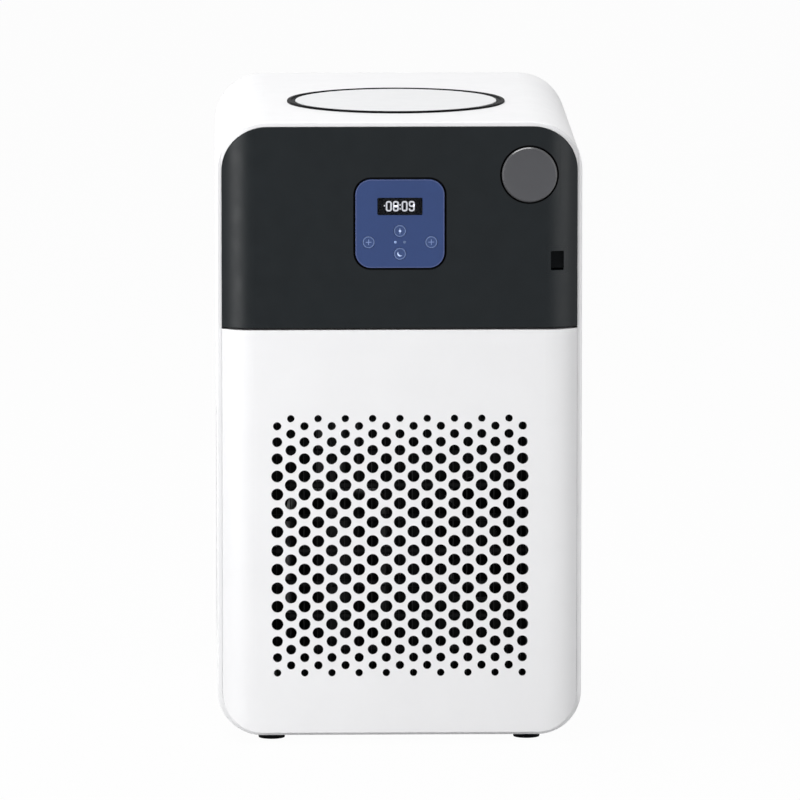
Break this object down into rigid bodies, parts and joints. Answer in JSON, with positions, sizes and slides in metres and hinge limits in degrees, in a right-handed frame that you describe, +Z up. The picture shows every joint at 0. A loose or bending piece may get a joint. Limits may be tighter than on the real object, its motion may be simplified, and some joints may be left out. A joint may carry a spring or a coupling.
{
  "type": "refrigerated circulator",
  "caption": "Bench refrigerated circulator: upright rounded white casing, dark control fascia with key panel and knob, perforated cooling grille, lift-off round bath lid.",
  "frame": {"origin": "on the floor under the middle of the whole object, fittings included", "axes": "+Z up, +Y from the control fascia towards the rear panel, +X to the right as the fascia is seen"},
  "size_m": [0.35, 0.4844, 0.6037],
  "materials": {
    "white_shell": "smooth white coat",
    "white_lid": "smooth white",
    "dark_fascia": "satin near-black",
    "blue_panel": "satin slate blue",
    "key_cap": "satin slate blue",
    "grey_knob": "fine satin grey",
    "display_pane": "dark gloss pane",
    "display_dark": "matt black",
    "display_light": "lit white",
    "lamp": "lit pale blue",
    "black_rubber": "matt black",
    "black_plastic": "matt black",
    "stainless": "brushed",
    "zinc_steel": "plated sheet",
    "foam": "closed cell foam",
    "copper": "drawn tube",
    "aluminium_fin": "mill finish",
    "clear_hose": "milky silicone",
    "circuit_board": "solder mask green",
    "compressor_black": "satin black paint",
    "screw_steel": "plated"
  },
  "bodies": {
    "root": {"casing_shell": "white_shell", "base_plate": "zinc_steel", "equipment_deck": "zinc_steel", "rear_panel": "white_shell", "rear_panel_screws": "screw_steel", "front_feet": "black_rubber", "rear_feet": "black_rubber", "control_fascia": "dark_fascia", "grille_cover": "white_shell", "key_panel": "blue_panel", "display_window": "display_pane", "display_module": "display_dark", "display_digits": "display_light", "indicator_lights": "lamp", "key_switches": "black_plastic", "control_board": "circuit_board", "knob_encoder": "zinc_steel", "switch_bezel": "dark_fascia", "switch_housing": "black_plastic", "bath_rim": "black_plastic", "bath_tank": "stainless", "tank_insulation": "foam", "cooling_coil": "stainless", "bath_heater": "stainless", "temperature_probe": "stainless", "pump_housing": "black_plastic", "pump_motor": "zinc_steel", "suction_hose": "clear_hose", "outlet_hose": "clear_hose", "return_hose": "clear_hose", "drain_hose": "clear_hose", "outlet_port": "stainless", "return_port": "stainless", "drain_tap": "stainless", "mains_inlet": "black_plastic", "power_box": "zinc_steel", "compressor": "compressor_black", "compressor_grommets": "black_rubber", "condenser_fins": "aluminium_fin", "condenser_tube": "aluminium_fin", "condenser_frame": "compressor_black", "fan_shroud": "black_plastic", "fan_motor": "black_plastic", "filter_drier": "copper", "discharge_line": "copper", "liquid_lines": "copper", "suction_line": "copper"},
    "lid": {"lid_disc": "white_lid", "lid_gasket": "black_rubber", "lid_core": "foam"},
    "knob": {"control_knob": "grey_knob"},
    "rocker": {"power_rocker": "black_plastic"},
    "fan": {"fan_rotor": "black_plastic"},
    "impeller": {"pump_impeller": "black_plastic"},
    "drain_lever": {"drain_handle": "black_plastic"},
    "key_top": {"key_top": "key_cap"},
    "key_bottom": {"key_bottom": "key_cap"},
    "key_left": {"key_left": "key_cap"},
    "key_right": {"key_right": "key_cap"}
  },
  "joints": [
    {"name": "lid_lift", "type": "slide", "parent": "root", "child": "lid", "axis": [0, 0, 1], "range_m": [0, 0.06]},
    {"name": "knob_turn", "type": "hinge", "parent": "root", "child": "knob", "pos_m": [0.1239, -0.24025, 0.5509], "axis": [0, 1, 0], "continuous": true},
    {"name": "rocker_tilt", "type": "hinge", "parent": "root", "child": "rocker", "pos_m": [0.1507, -0.22725, 0.4679], "axis": [1, 0, 0], "range_deg": [0, 14]},
    {"name": "fan_spin", "type": "hinge", "parent": "root", "child": "fan", "pos_m": [0.078, -0.17825, 0.19], "axis": [0, 1, 0], "continuous": true},
    {"name": "impeller_spin", "type": "hinge", "parent": "root", "child": "impeller", "pos_m": [-0.045, 0.02475, 0.07], "axis": [0, 1, 0], "continuous": true},
    {"name": "drain_turn", "type": "hinge", "parent": "root", "child": "drain_lever", "pos_m": [0.045, 0.21025, 0.071], "axis": [0, 0, 1], "range_deg": [0, 90]},
    {"name": "key_top_press", "type": "slide", "parent": "root", "child": "key_top", "axis": [0, 1, 0], "range_m": [0, 0.001], "stiffness_N_per_m": 600, "springref_m": -0.0015},
    {"name": "key_bottom_press", "type": "slide", "parent": "root", "child": "key_bottom", "axis": [0, 1, 0], "range_m": [0, 0.001], "stiffness_N_per_m": 600, "springref_m": -0.0015},
    {"name": "key_left_press", "type": "slide", "parent": "root", "child": "key_left", "axis": [0, 1, 0], "range_m": [0, 0.001], "stiffness_N_per_m": 600, "springref_m": -0.0015},
    {"name": "key_right_press", "type": "slide", "parent": "root", "child": "key_right", "axis": [0, 1, 0], "range_m": [0, 0.001], "stiffness_N_per_m": 600, "springref_m": -0.0015}
  ]
}
